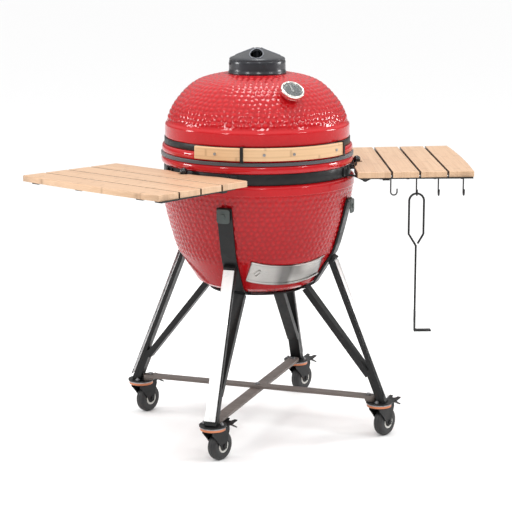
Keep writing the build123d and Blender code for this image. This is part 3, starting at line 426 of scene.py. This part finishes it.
ROUNDED = {0.0012: ("slats_left", "slats_right", "leg_front_left", "leg_front_right", "leg_rear_left",
                    "leg_rear_right", "vent_cap", "vent_collar"),
           0.0006: ("cross_brace", "handle_brackets", "draft_frame", "leg_pads", "caster_plates", "lid_band",
                    "base_band", "hinge_lower_bracket", "hinge_upper_bracket", "shelf_brackets"),
           0.0004: ("shelf_frame_left", "shelf_frame_right")
           + tuple(part + "_" + corner for part in ("fork", "brake")
                   for corner in ("front_left", "front_right", "rear_left", "rear_right"))}
for bevel_width, bevel_names in ROUNDED.items():
    round_edges(bevel_names, bevel_width)


# ---- mesh helpers -----------------------------------------------------------------------------
def new_piece(name, points, faces, material, body, replaces=(), crest=None, slot=None):
    """A smooth-shaded mesh piece that rides on a CAD body and may stand for CAD nodes."""
    mesh = bpy.data.meshes.new(name)
    mesh.from_pydata([tuple(p) for p in points], [], [tuple(f) for f in faces])
    mesh.polygons.foreach_set("use_smooth", np.ones(len(mesh.polygons), bool))
    if crest is not None:
        mesh.attributes.new("crest", "FLOAT", "POINT").data.foreach_set("value", crest.astype(np.float32))
    mesh.update()
    piece = bpy.data.objects.new(name, mesh)
    bpy.context.scene.collection.objects.link(piece)
    mesh.materials.append(MATERIAL[material])
    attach(piece, body)
    if replaces:
        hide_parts(*replaces)
    return piece


def smooth_run(points, count, start=None, end=None):
    """A cubic curve through points, sampled evenly: a straight run where only two points are given."""
    points = np.array(points, float)
    if len(points) == 2:
        return points[0] + np.linspace(0, 1, count)[:, None] * (points[1] - points[0])
    length = np.r_[0, np.cumsum(np.hypot(*np.diff(points, axis=0).T))]
    slopes = np.gradient(points, length, axis=0)
    for which, given in ((0, start), (-1, end)):
        if given is not None:
            slopes[which] = np.array(given) / hypot(*given)
    dense = []
    for i in range(len(points) - 1):
        step = length[i + 1] - length[i]
        t = np.linspace(0, 1, 60, endpoint=i == len(points) - 2)[:, None]
        dense.append((2 * t**3 - 3 * t**2 + 1) * points[i] + (t**3 - 2 * t**2 + t) * step * slopes[i]
                     + (-2 * t**3 + 3 * t**2) * points[i + 1] + (t**3 - t**2) * step * slopes[i + 1])
    dense = np.vstack(dense)
    along = np.r_[0, np.cumsum(np.hypot(*np.diff(dense, axis=0).T))]
    even = np.linspace(0, along[-1], count)
    return np.stack([np.interp(even, along, dense[:, k]) for k in (0, 1)], 1)


def profile_of(runs):
    """Joins runs end to end and eases their corners, as glaze rounds the edges of a casting."""
    points = np.vstack([run[:-1] for run in runs])
    nearest = np.minimum(np.hypot(*(points - np.roll(points, 1, 0)).T),
                         np.hypot(*(points - np.roll(points, -1, 0)).T))
    eased = (np.roll(points, 1, 0) + 3 * points + np.roll(points, -1, 0)) / 5
    return np.where((nearest < 4.0)[:, None], eased, points)


def lathe(profile, columns):
    """Points and quads of a closed profile of (radius, height) turned round Z, in the profile's units."""
    rows = len(profile)
    turn = np.linspace(0, 2 * pi, columns, endpoint=False)
    radius = profile[:, 0][:, None]
    height = np.repeat(profile[:, 1][:, None], columns, 1)
    points = np.stack([radius * np.sin(turn), -radius * np.cos(turn), height], 2)
    row = np.arange(rows)[:, None]
    column = np.arange(columns)[None, :]
    after = (column + 1) % columns
    below = (row + 1) % rows
    quads = np.stack([row * columns + column, row * columns + after, below * columns + after,
                      below * columns + column], 2)
    return points, quads, turn


def pebbles(arc, turn, radius, pitch, seed):
    """Height from 0 to 1 of a pebbled glaze: rounded cells in staggered rings, a little out of place."""
    generator = np.random.default_rng(seed)
    ring_gap = pitch * 0.87
    rings = int(arc.max() / ring_gap) + 4
    ring_radius = np.interp(np.arange(-2, rings) * ring_gap, arc, radius)
    first = np.full((len(arc), len(turn)), 1e9)
    second = first.copy()
    jitter = generator.normal(0, 0.13 * pitch, (rings + 2, 400, 2))
    base_ring = np.floor(arc / ring_gap).astype(int)
    for offset in (-1, 0, 1, 2):
        ring = np.clip(base_ring + offset, -2, rings - 1) + 2
        count = np.maximum(6, np.round(2 * pi * ring_radius[ring] / pitch)).astype(int)
        spacing = 2 * pi / count
        shift = (ring % 2) * 0.5
        nearest = np.round(turn[None, :] / spacing[:, None] - shift[:, None]).astype(int)
        for side in (-1, 0, 1):
            cell = (nearest + side) % count[:, None]
            moved = jitter[ring[:, None], cell]
            centre_turn = (nearest + side + shift[:, None]) * spacing[:, None]
            across = (turn[None, :] - centre_turn) * radius[:, None] - moved[..., 0]
            down = (arc - (ring - 2) * ring_gap)[:, None] - moved[..., 1]
            gap = np.hypot(across, down)
            second = np.where(gap < first, first, np.minimum(second, gap))
            first = np.minimum(first, gap)
    share = (second - first) / (second + first)
    return np.sin(np.clip(share, 0, 1) * pi / 2) ** 1.15


def fade(value, low, high):
    """Smooth step from 0 at low to 1 at high."""
    t = np.clip((value - low) / (high - low), 0, 1)
    return t * t * (3 - 2 * t)


def tube(path, radius, sides=10, closed=False):
    """Points and faces of a round wire along a path of points."""
    path = np.array(path, float)
    count = len(path)
    if closed:
        way = np.roll(path, -1, 0) - np.roll(path, 1, 0)
    else:
        way = np.gradient(path, axis=0)
    way /= np.linalg.norm(way, axis=1)[:, None]
    side = np.cross(way[0], (0.31, 0.52, 0.79))
    points = []
    for i in range(count):
        side = side - way[i] * (side @ way[i])
        side /= np.linalg.norm(side)
        up = np.cross(way[i], side)
        for k in range(sides):
            a = 2 * pi * k / sides
            points.append(path[i] + radius * (cos(a) * side + sin(a) * up))
    faces = []
    for i in range(count if closed else count - 1):
        j = (i + 1) % count
        for k in range(sides):
            n = (k + 1) % sides
            faces.append((i * sides + k, i * sides + n, j * sides + n, j * sides + k))
    if not closed:
        faces.append(tuple(range(sides))[::-1])
        faces.append(tuple((count - 1) * sides + k for k in range(sides)))
    return points, faces


def together(*shapes):
    """Several (points, faces) shapes as one."""
    points = []
    faces = []
    for shape_points, shape_faces in shapes:
        base = len(points)
        points += [Vector(p) for p in shape_points]
        faces += [tuple(i + base for i in f) for f in shape_faces]
    return points, faces


def turned(profile, matrix, columns=64):
    """A closed profile of (radius, height) in millimetres turned round a placed axis."""
    points, quads, _ = lathe(np.array(profile, float) * MM, columns)
    return [matrix @ Vector(p) for p in points.reshape(-1, 3)], quads.reshape(-1, 4)


def flat_box(matrix, low, high):
    """A small box between two corners, in millimetres, placed by a matrix."""
    corners = [(x, y, z) for x in (low[0], high[0]) for y in (low[1], high[1]) for z in (low[2], high[2])]
    faces = [(0, 1, 3, 2), (4, 6, 7, 5), (0, 4, 5, 1), (2, 3, 7, 6), (0, 2, 6, 4), (1, 5, 7, 3)]
    return [matrix @ (Vector(c) * MM) for c in corners], faces


def axis_frame(origin, direction):
    """Placement whose Z runs along a direction."""
    turn = Vector(direction).to_track_quat("Z", "Y").to_matrix().to_4x4()
    return Matrix.Translation(origin) @ turn


# ---- glazed ceramic shells --------------------------------------------------------------------
LID_COLUMNS = 600
BOWL_COLUMNS = 520
PEBBLE = 17.0
PEBBLE_HEIGHT = 2.3


def arc_length(profile):
    return np.r_[0, np.cumsum(np.hypot(*np.diff(profile, axis=0).T))]


def normals(profile):
    """Outward normals of a profile that runs with its outside on the right."""
    way = np.roll(profile, -1, 0) - np.roll(profile, 1, 0)
    way /= np.hypot(*way.T)[:, None]
    return np.stack([way[:, 1], -way[:, 0]], 1)


def push(points, profile, turn, height):
    """Moves lathe points along the profile's outward normals."""
    out = normals(profile)
    points[..., 0] += height * out[:, 0][:, None] * np.sin(turn)[None, :]
    points[..., 1] -= height * out[:, 0][:, None] * np.cos(turn)[None, :]
    points[..., 2] += height * out[:, 1][:, None]


def glazed_lid():
    """Lid: lip, band groove and smooth rim below a pebbled dome with a chimney hole."""
    dome = smooth_run([(262, 921), (249, 957), (221, 997), (180, 1033), (123, 1052), (90, 1056.6)], 88,
                      start=(-0.2, 1), end=(-1, 0.06))
    runs = [smooth_run([(248, 833), (273, 833)], 5),
            smooth_run([(273, 833), (274, 834), (274, 856.5), (273, 857.5)], 9),
            smooth_run([(273, 857.5), (266, 857.5)], 4), smooth_run([(266, 857.5), (266, 877)], 6),
            smooth_run([(266, 877), (268, 878)], 3), smooth_run([(268, 878), (268, 914)], 14),
            smooth_run([(268, 914), (262, 921)], 4), dome, smooth_run([(90, 1056.6), (55, 1057)], 5),
            smooth_run([(55, 1057), (55, 1034.5)], 5),
            smooth_run([(55, 1034.5), (100, 1033.3), (170, 1013.3), (208, 983.3), (234, 950.3), (246.2, 915),
                        (247.5, 880), (248, 833)], 26)]
    profile = profile_of(runs)
    points, quads, turn = lathe(profile, LID_COLUMNS)
    arc = arc_length(profile)
    start = next(i for i, (r, z) in enumerate(profile) if z > 919)
    end = next(i for i, (r, z) in enumerate(profile) if r < 91 and z > 1050)
    height = np.zeros((len(profile), LID_COLUMNS))
    height[start:end] = pebbles(arc[start:end] - arc[start], turn, profile[start:end, 0], PEBBLE, 11)
    window = fade(arc, arc[start] + 1, arc[start] + 9) * (1 - fade(arc, arc[end] - 10, arc[end] - 2))
    gauge = np.sqrt(points[..., 0] ** 2 + (points[..., 1] + 211) ** 2 + (points[..., 2] - 1006) ** 2)
    window = window[:, None] * fade(gauge, 26, 38)
    push(points, profile, turn, (height * PEBBLE_HEIGHT - 0.9) * window)
    crest = np.where(window > 0, 0.75 * (1 - window) + height * window, 0.75)
    crest[len(profile) - 24:-1] = -1
    new_piece("lid_glazed", points.reshape(-1, 3) * MM, quads.reshape(-1, 4), "red_glaze", "lid",
              ["lid_dome"], crest.ravel(), "red_glaze")


VENT_LEAN = atan2(54, 85)
VENT_MID = (205.3, 501.5)
PORT = (radians(-26.5), radians(-5.2))


def glazed_bowl():
    """Bowl: cone foot with flattened vent seat and air port, pebbled belly, shoulder, groove and lip."""
    port_rows = 14
    slope = 54 / 85
    outside_low, outside_high = 481.0, 521.0
    inner_low, inner_high = 497.0, 537.0

    def cone(z):
        return 176 + slope * (z - 456)

    def inner_cone(z):
        return 151.8 + slope * (z - 470)

    runs = [smooth_run([(12, 442), (150, 442)], 6), smooth_run([(150, 442), (176, 456)], 9),
            smooth_run([(176, 456), (cone(outside_low), outside_low)], 10),
            smooth_run([(cone(outside_low), outside_low), (cone(outside_high), outside_high)], port_rows + 1),
            smooth_run([(cone(outside_high), outside_high), (230, 541)], 8),
            smooth_run([(230, 541), (251, 603), (272, 690), (279, 738)], 62, start=(0.52, 1), end=(0.05, 1)),
            smooth_run([(279, 738), (278.5, 739.2), (280.4, 739.8), (282.3, 740.4), (283, 742.2),
                        (283, 744)], 12),
            smooth_run([(283, 744), (283, 763)], 8),
            smooth_run([(283, 763), (281, 766), (268, 768.5)], 6), smooth_run([(268, 768.5), (268, 802)], 7),
            smooth_run([(268, 802), (275, 802)], 4),
            smooth_run([(275, 802), (276, 803), (276, 824), (275, 825)], 9),
            smooth_run([(275, 825), (248, 825)], 5), smooth_run([(248, 825), (248, 758)], 4),
            smooth_run([(248, 758), (243, 690), (225, 612), (206.4, 556)], 10),
            smooth_run([(206.4, 556), (inner_cone(inner_high), inner_high)], 4),
            smooth_run([(inner_cone(inner_high), inner_high), (inner_cone(inner_low), inner_low)],
                       port_rows + 1),
            smooth_run([(inner_cone(inner_low), inner_low), (151.8, 470)], 5),
            smooth_run([(151.8, 470), (12, 470)], 4), smooth_run([(12, 470), (12, 442)], 3)]
    lengths = np.cumsum([0] + [len(run) - 1 for run in runs])
    profile = profile_of(runs)
    points, quads, turn = lathe(profile, BOWL_COLUMNS)
    arc = arc_length(profile)
    start, end = lengths[4], lengths[6]
    height = np.zeros((len(profile), BOWL_COLUMNS))
    height[start:end] = pebbles(arc[start:end] - arc[start], turn, profile[start:end, 0], PEBBLE, 23)
    window = fade(arc, arc[start] + 2, arc[start] + 30) * (1 - fade(arc, arc[end] - 7, arc[end] - 1))
    side = np.arctan2(points[..., 0], -points[..., 1])
    beside_vent = fade(np.abs(side), radians(34), radians(46))
    near_vent = fade(points[..., 2] + 26 * np.abs(side), 546, 556)
    window = window[:, None] * np.maximum(beside_vent, near_vent)
    push(points, profile, turn, (height * PEBBLE_HEIGHT - 0.9) * window)
    crest = np.where(window > 0, 0.75 * (1 - window) + height * window, 0.75)
    crest[lengths[13] + 1:lengths[19]] = -1

    axis_r = VENT_MID[0] / cos(VENT_LEAN)
    centre_y = -VENT_MID[0] + axis_r * cos(VENT_LEAN)
    centre_z = VENT_MID[1] + axis_r * sin(VENT_LEAN)
    inward = (points[..., 1] - centre_y) * cos(VENT_LEAN) + (points[..., 2] - centre_z) * sin(VENT_LEAN)
    along = -(points[..., 1] - centre_y) * sin(VENT_LEAN) + (points[..., 2] - centre_z) * cos(VENT_LEAN)
    from_axis = np.hypot(points[..., 0], inward)
    bend = np.abs(np.arctan2(points[..., 0], -inward))
    seat = (np.abs(along) < 38.2) & (bend < radians(28.6)) & (from_axis > axis_r - 12)
    seat_r = axis_r - 1.6
    scale = np.where(seat, np.minimum(1, seat_r / from_axis), 1)
    points[..., 0] *= scale
    moved = inward * scale - inward
    points[..., 1] += moved * cos(VENT_LEAN)
    points[..., 2] += moved * sin(VENT_LEAN)

    columns = [c for c in range(BOWL_COLUMNS) if PORT[0] % (2 * pi) < turn[c] < PORT[1] % (2 * pi)]
    outer_rows = range(lengths[3], lengths[4])
    inner_rows = range(lengths[16], lengths[17])
    keep = np.ones(quads.shape[:2], bool)
    keep[np.ix_(outer_rows, columns[:-1])] = False
    keep[np.ix_(inner_rows, columns[:-1])] = False
    faces = [tuple(q) for q in quads[keep]]
    last = lengths[17]
    first = lengths[3]

    def at(row, column):
        return int(row * BOWL_COLUMNS + column)

    for k in range(port_rows):
        a, b = first + k, last - k
        for column, flip in ((columns[0], 1), (columns[-1], 0)):
            quad = (at(a, column), at(a + 1, column), at(b - 1, column), at(b, column))
            faces.append(quad if flip else quad[::-1])
    for a, b, flip in ((first, last, 0), (lengths[4], lengths[16], 1)):
        for left, right in zip(columns[:-1], columns[1:]):
            quad = (at(a, left), at(a, right), at(b, right), at(b, left))
            faces.append(quad[::-1] if flip else quad)
    new_piece("bowl_glazed", points.reshape(-1, 3) * MM, faces, "red_glaze", "cart_and_bowl", ["base_shell"],
              crest.ravel(), "red_glaze")



# ---- casters ----------------------------------------------------------------------------------
CASTER = 267.0
TRAIL = 30.0
TRAIL_TURN = radians(26)
WHEEL_R = 42.0


def mirrored(half):
    """A profile given on one side of the middle, with its other side added."""
    return half + [(r, -h) for r, h in reversed(half)]


def wheels():
    """Rounded tyre with two grooves, recessed hub, and the pale ring on either face."""
    tyre = mirrored([(20, -13.6), (20.6, -14.4), (24, -14.9), (31, -14.9), (35.6, -14), (38.8, -12),
                     (40.9, -9), (41.7, -6.2), (41.8, -5.4), (41, -5), (41, -4.2), (41.9, -3.8)])
    hub = mirrored([(4.1, -14.7), (7.2, -14.7), (8, -14.2), (8.8, -10.4), (14.2, -10.2), (14.5, -13),
                    (19.9, -13.2)])
    ring = [(14.4, -11), (14.6, -14.5), (15.3, -15), (18.9, -15), (19.7, -14.6), (20, -13.4), (19.4, -12)]
    rings = [ring, [(r, -h) for r, h in ring][::-1]]
    for side_x, x_name in ((-1, "left"), (1, "right")):
        for side_y, y_name in ((-1, "front"), (1, "rear")):
            name = y_name + "_" + x_name
            centre = Vector((side_x * CASTER + TRAIL * cos(TRAIL_TURN),
                             side_y * CASTER + TRAIL * sin(TRAIL_TURN), WHEEL_R)) * MM
            place = axis_frame(centre, (sin(TRAIL_TURN), -cos(TRAIL_TURN), 0))
            new_piece("tyre_" + name, *turned(tyre, place, 96), "tyre_rubber", "wheel_" + name,
                      ["wheel_" + name], slot="tyre_rubber")
            new_piece("hub_" + name, *turned(hub, place, 64), "hub_dark", "wheel_" + name)
            new_piece("hub_ring_" + name, *together(*(turned(r, place, 64) for r in rings)), "hub_plastic",
                      "wheel_" + name)


# ---- thermometer ------------------------------------------------------------------------------
def thermometer():
    """Turned case with a thick rolled bezel, its nut and probe, and the scale on the dial."""
    place = axis_frame(Vector(GAUGE_AT) * MM, GAUGE_WAY)
    case = [(0.01, -52), (2.2, -52), (3, -50.5), (3, -30), (3, 3.2), (24, 3.2), (25, 4), (25, 9.4),
            (26, 10.2), (31, 10.4), (32.4, 11.6), (32.6, 14), (32.6, 18), (33.4, 19.6), (34, 22),
            (33.9, 25), (32.8, 27.2), (31, 28), (29.2, 27.5), (28.2, 26.2), (28, 24), (28, 21), (0.01, 21)]
    new_piece("gauge_case", *turned(case, place, 96), "chrome", "lid", ["thermometer_case"], slot="chrome")
    marks = []
    for step in range(41):
        angle = radians(-120 + step * 6)
        long = step % 5 == 0
        inner, width = (19.5, 0.55) if long else (22.2, 0.28)
        marks.append(flat_box(place @ Matrix.Rotation(-angle, 4, "Z"), (-width, inner, DIAL_FACE),
                              (width, 25.2, DIAL_FACE + 0.18)))
    new_piece("gauge_scale", *together(*marks), "needle_paint", "lid")


# ---- top vent ---------------------------------------------------------------------------------
def cap_rims():
    """Rolled rims round the cap's three leaf windows."""
    shapes = []
    for degrees in (29, 149, 269):
        turn = radians(-90 - degrees)
        path = []
        for k in range(72):
            a = 2 * pi * k / 72
            u, v = 43 + 29.3 * cos(a), 19.3 * sin(a)
            r = hypot(u, v)
            z = 1128.5 - (r - 12) * 26.5 / 66 + 0.3
            path.append(((u * cos(turn) - v * sin(turn)) * MM, (u * sin(turn) + v * cos(turn)) * MM, z * MM))
        shapes.append(tube(path, 1.7 * MM, 10, closed=True))
    new_piece("cap_window_rims", *together(*shapes), "cast_rim", "cap")


# ---- hinge ------------------------------------------------------------------------------------
def hinge_coils():
    """Two close-wound torsion springs on the hinge pin."""
    shapes = []
    for side in (-1, 1):
        path = []
        for k in range(12 * 28 + 1):
            a = 2 * pi * k / 28
            x = side * (9.5 + 37.0 * k / (12 * 28))
            path.append((x * MM, (312 + 7.4 * cos(a)) * MM, (829 + 7.4 * sin(a)) * MM))
        shapes.append(tube(path, 1.4 * MM, 8))
    new_piece("hinge_coils", *together(*shapes), "zinc_bolts", "cart_and_bowl", ["hinge_springs"],
              slot="zinc_bolts")


# ---- legs -------------------------------------------------------------------------------------
def leg_faces():
    """White strips on the outer faces of the four outer bars, painted reflections of the bright surroundings.
    """
    top, foot = Vector((238.0, 0, 520.5)), Vector((397.5, 0, 122))
    along = (foot - top).normalized()
    outward = Vector((-along.z, 0, along.x))
    length = (foot - top).length
    shapes = []
    for degrees in (-135, -45, 45, 135):
        turn = Matrix.Rotation(radians(degrees), 4, "Z")
        bar = Matrix(((along.x, 0, outward.x, top.x * MM), (0, 1, 0, 0),
                      (along.z, 0, outward.z, top.z * MM), (0, 0, 0, 1)))
        shapes.append(flat_box(turn @ bar, (0, -LEG_FACE_HALF, LEG_FACE_LOW),
                               (length, LEG_FACE_HALF, LEG_FACE_LOW + LEG_FACE_THICK)))
    new_piece("leg_faces", *together(*shapes), "bright_steel", "cart_and_bowl")


glazed_lid()
glazed_bowl()
wheels()
thermometer()
cap_rims()
hinge_coils()
leg_faces()


# ---- stage ------------------------------------------------------------------------------------
def plain_stage():
    """Pale seamless floor, soft overhead and side lights, pale surroundings."""
    bpy.ops.mesh.primitive_plane_add(size=60)
    floor = bpy.context.object
    floor.name = "floor"
    white = Maker("floor_white", Roughness=0.6, Specular_IOR_Level=0.2)
    white.set(Base_Color=(0.88, 0.88, 0.88, 1))
    floor.data.materials.append(white.mat)
    world = bpy.data.worlds.new("studio")
    bpy.context.scene.world = world
    world.use_nodes = True
    tree = world.node_tree
    direction = tree.nodes.new("ShaderNodeTexCoord").outputs["Generated"]
    split = tree.nodes.new("ShaderNodeSeparateXYZ")
    tree.links.new(direction, split.inputs[0])
    rise = tree.nodes.new("ShaderNodeMapRange")
    tree.links.new(split.outputs["Z"], rise.inputs["Value"])
    for socket, value in (("From Min", 0.12), ("From Max", 0.8), ("To Min", 0.26), ("To Max", 1.45)):
        rise.inputs[socket].default_value = value
    tree.links.new(rise.outputs["Result"], tree.nodes["Background"].inputs["Strength"])
    tree.nodes["Background"].inputs["Color"].default_value = (1, 1, 1, 1)
    lights = (("left_box", (-3.4, 1.6, 1.6), 0.8, 50), ("right_box", (3.3, -0.9, 1.5), 0.8, 45),
              ("top_box", (0.2, 0.1, 4.0), 1.0, 45), ("high_left", (-3.2, -1.4, 2.6), 0.6, 26),
              ("high_front", (-1.2, -3.2, 2.9), 0.6, 26), ("high_right", (1.9, -2.8, 2.8), 0.6, 26))
    for name, place, size, power in lights:
        data = bpy.data.lights.new(name, "AREA")
        data.size = size
        data.energy = power
        lamp = bpy.data.objects.new(name, data)
        lamp.location = place
        aim = Vector((0, 0, 0.75)) - Vector(place)
        lamp.rotation_euler = aim.to_track_quat("-Z", "Y").to_euler()
        bpy.context.scene.collection.objects.link(lamp)


def make_camera():
    """Long-lens view from the left front, a little above the shelves."""
    azimuth = radians(25.8)
    distance = 5.0
    height = 1.537
    tilt = radians(11.53)
    data = bpy.data.cameras.new("camera")
    data.lens = 121.6
    data.sensor_width = 36.0
    data.shift_x = -0.0025
    data.clip_end = 200
    camera = bpy.data.objects.new("camera", data)
    camera.location = (-sin(azimuth) * distance, -cos(azimuth) * distance, height)
    look = Vector((sin(azimuth) * cos(tilt), cos(azimuth) * cos(tilt), -sin(tilt)))
    camera.rotation_euler = look.to_track_quat("-Z", "Y").to_euler()
    bpy.context.scene.collection.objects.link(camera)
    bpy.context.scene.camera = camera


bpy.context.scene.view_settings.view_transform = "Standard"
plain_stage()
make_camera()
